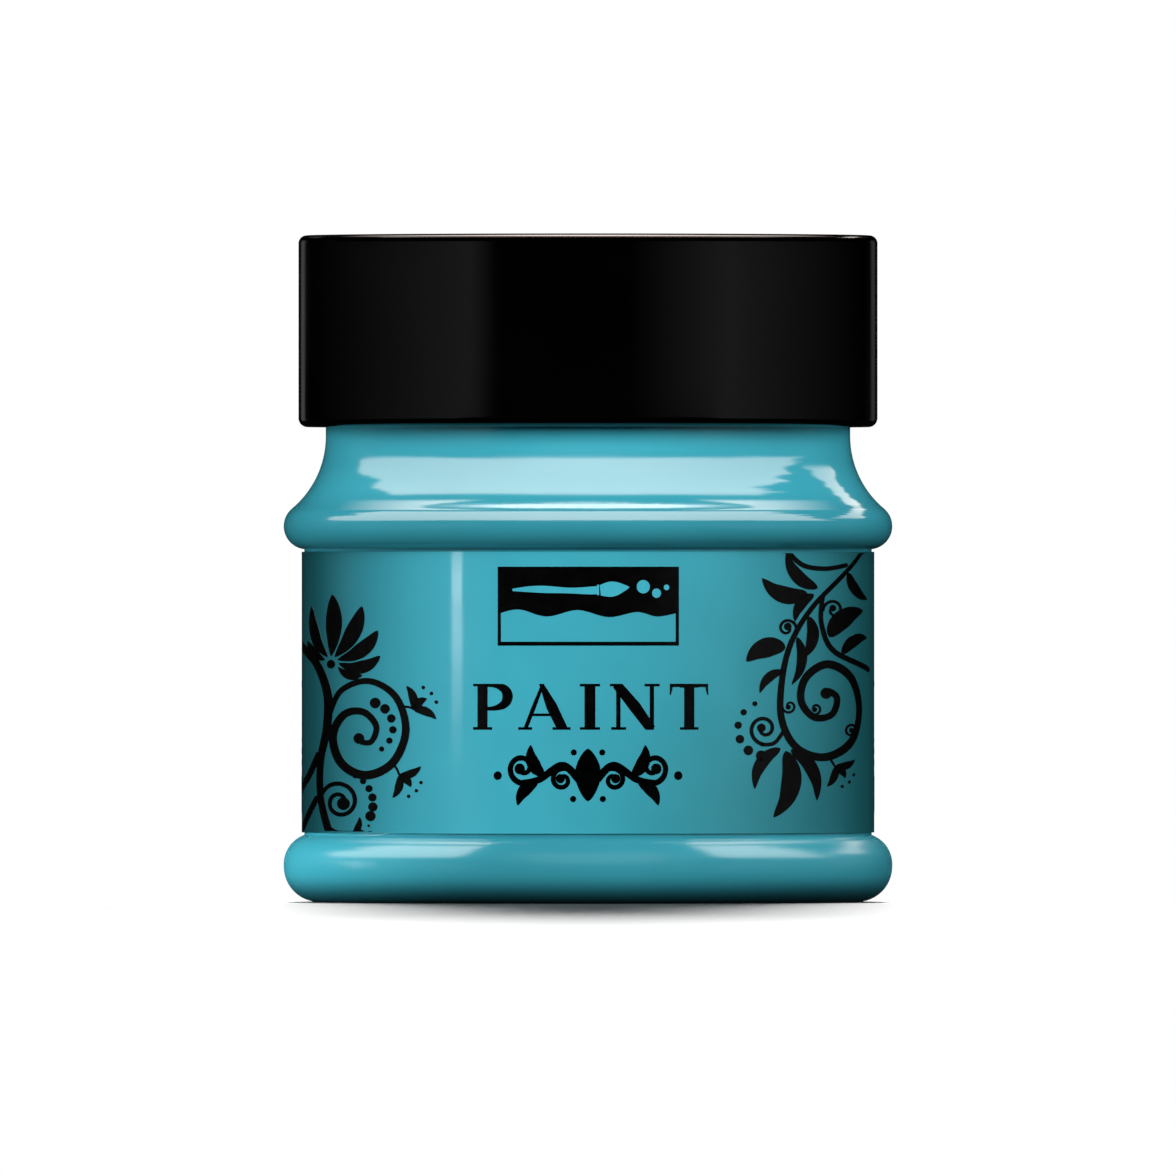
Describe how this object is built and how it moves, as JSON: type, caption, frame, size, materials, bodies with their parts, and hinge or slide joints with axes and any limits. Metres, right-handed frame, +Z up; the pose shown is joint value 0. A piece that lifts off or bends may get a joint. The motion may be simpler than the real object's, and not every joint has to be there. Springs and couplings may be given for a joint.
{
  "type": "paint jar",
  "caption": "Squat round jar of teal craft paste with two rounded beads, a clear printed wrap label and a smooth black screw lid.",
  "frame": {"origin": "centre of the base, on the plane the jar stands on", "axes": "+Z up along the jar's axis, towards the lid; the middle of the label's front faces -Y"},
  "size_m": [0.0472, 0.0472, 0.0518],
  "materials": {
    "clear_plastic": "clear, smooth, glossy moulded plastic",
    "paint": "opaque teal craft paste, satin and slightly uneven on top",
    "label_film": "clear glossy film with a smoky fade towards both sides and black print",
    "lid_plastic": "glossy black moulded plastic",
    "liner_foam": "off-white closed-cell foam"
  },
  "bodies": {
    "jar": {"jar_body": "clear_plastic", "paint_fill": "paint", "wrap_label": "label_film"},
    "liner": {"lid_liner": "liner_foam"},
    "lid": {"screw_lid": "lid_plastic"}
  },
  "joints": [
    {"name": "lid_rise", "type": "slide", "parent": "jar", "child": "liner", "axis": [0, 0, 1], "range_m": [0, 0.0191]},
    {"name": "lid_turn", "type": "hinge", "parent": "liner", "child": "lid", "pos_m": [0, 0, 0.044], "axis": [0, 0, 1], "range_deg": [0, 1620]}
  ],
  "couplings": [
    {"joint": "lid_rise", "follows": "lid_turn", "m_per_rad": 0.0006737}
  ]
}
